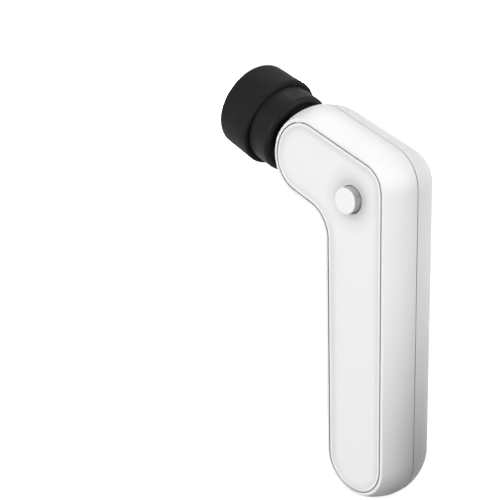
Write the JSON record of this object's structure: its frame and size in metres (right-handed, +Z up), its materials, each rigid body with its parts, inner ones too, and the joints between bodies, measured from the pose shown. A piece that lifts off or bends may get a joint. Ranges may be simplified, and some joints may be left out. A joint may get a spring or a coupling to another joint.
{
  "type": "egg candling lamp",
  "caption": "Hand-held egg candling lamp: a pistol-shaped white shell with an inlaid panel and a push button, and an angled black nose with a soft cup for the egg.",
  "frame": {"origin": "mouth of the charging socket at the foot of the handle, on the handle's axis and on the seam plane", "axes": "+Z up along the handle, -Y out of the front panel, -X towards the nose"},
  "size_m": [0.0964, 0.038, 0.1711],
  "materials": {
    "white_shell": "satin white moulded housing",
    "panel_white": "smooth light grey-white inlay",
    "black_plastic": "matte black moulding",
    "black_rubber": "soft matte black rubber",
    "switch_grey": "dark grey moulding",
    "plunger_ivory": "ivory moulding",
    "board_green": "green laminate",
    "board_white": "white-faced aluminium board",
    "socket_steel": "bright plated steel",
    "cell_wrap": "blue shrink sleeve over a metal can",
    "nickel": "bright nickel strip",
    "foam": "closed-cell foam",
    "sink_aluminium": "turned aluminium",
    "emitter": "clear dome over a yellow phosphor",
    "mirror_coat": "metallised moulding",
    "clear_window": "clear flat window",
    "screw_steel": "zinc-plated steel",
    "lead_red": "red lead insulation",
    "lead_black": "black lead insulation"
  },
  "bodies": {
    "housing": {"front_shell": "white_shell", "rear_shell": "white_shell", "front_panel": "panel_white", "switch_body": "switch_grey", "control_board": "board_green", "charge_board": "board_green", "socket_shell": "socket_steel", "socket_tongue": "black_plastic", "cell": "cell_wrap", "cell_tab_top": "nickel", "cell_tab_foot": "nickel", "cell_pad": "foam", "nose_tube": "black_plastic", "rubber_cup": "black_rubber", "heat_sink": "sink_aluminium", "lamp_board": "board_white", "lamp_emitter": "emitter", "reflector": "mirror_coat", "lamp_window": "clear_window", "window_ring": "black_plastic", "shell_screws": "screw_steel", "board_screws": "screw_steel", "lamp_screws": "screw_steel", "lamp_lead_red": "lead_red", "lamp_lead_black": "lead_black", "cell_lead_red": "lead_red", "cell_lead_black": "lead_black", "charge_lead_red": "lead_red", "charge_lead_black": "lead_black"},
    "button": {"push_button": "white_shell", "switch_plunger": "plunger_ivory"}
  },
  "joints": [
    {"name": "button_press", "type": "slide", "parent": "housing", "child": "button", "axis": [0, 1, 0], "range_m": [0, 0.0016], "stiffness_N_per_m": 600, "springref_m": -0.0015}
  ]
}
